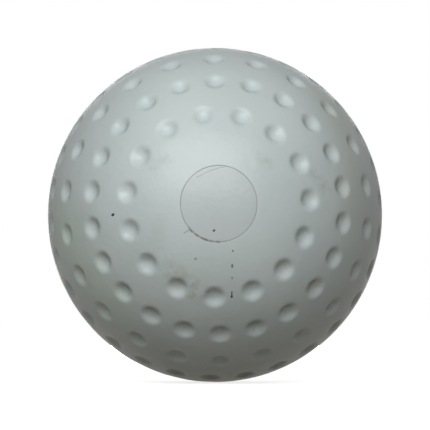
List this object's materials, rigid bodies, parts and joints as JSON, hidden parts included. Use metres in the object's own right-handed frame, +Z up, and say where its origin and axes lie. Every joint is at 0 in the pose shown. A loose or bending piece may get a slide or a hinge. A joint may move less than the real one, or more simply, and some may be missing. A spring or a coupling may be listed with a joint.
{
  "type": "field hockey ball",
  "caption": "Hard white field hockey ball: a seamless dimpled cover, closed by a flush round plug at one pole, moulded over a hollow split core.",
  "frame": {"origin": "centre of the ball", "axes": "+Z up, -Y towards the front pole, where the plug is, +X to the right as seen from the front"},
  "size_m": [0.073, 0.073, 0.073],
  "materials": {
    "cover_plastic": "satin moulded PVC, cool white with light scuffs",
    "plug_plastic": "satin moulded PVC, cool white",
    "core_plastic": "plain grey moulded polymer, hidden inside the cover"
  },
  "bodies": {
    "root": {"dimpled_cover": "cover_plastic", "pole_plug": "plug_plastic", "core_front_half": "core_plastic", "core_rear_half": "core_plastic"}
  },
  "joints": []
}
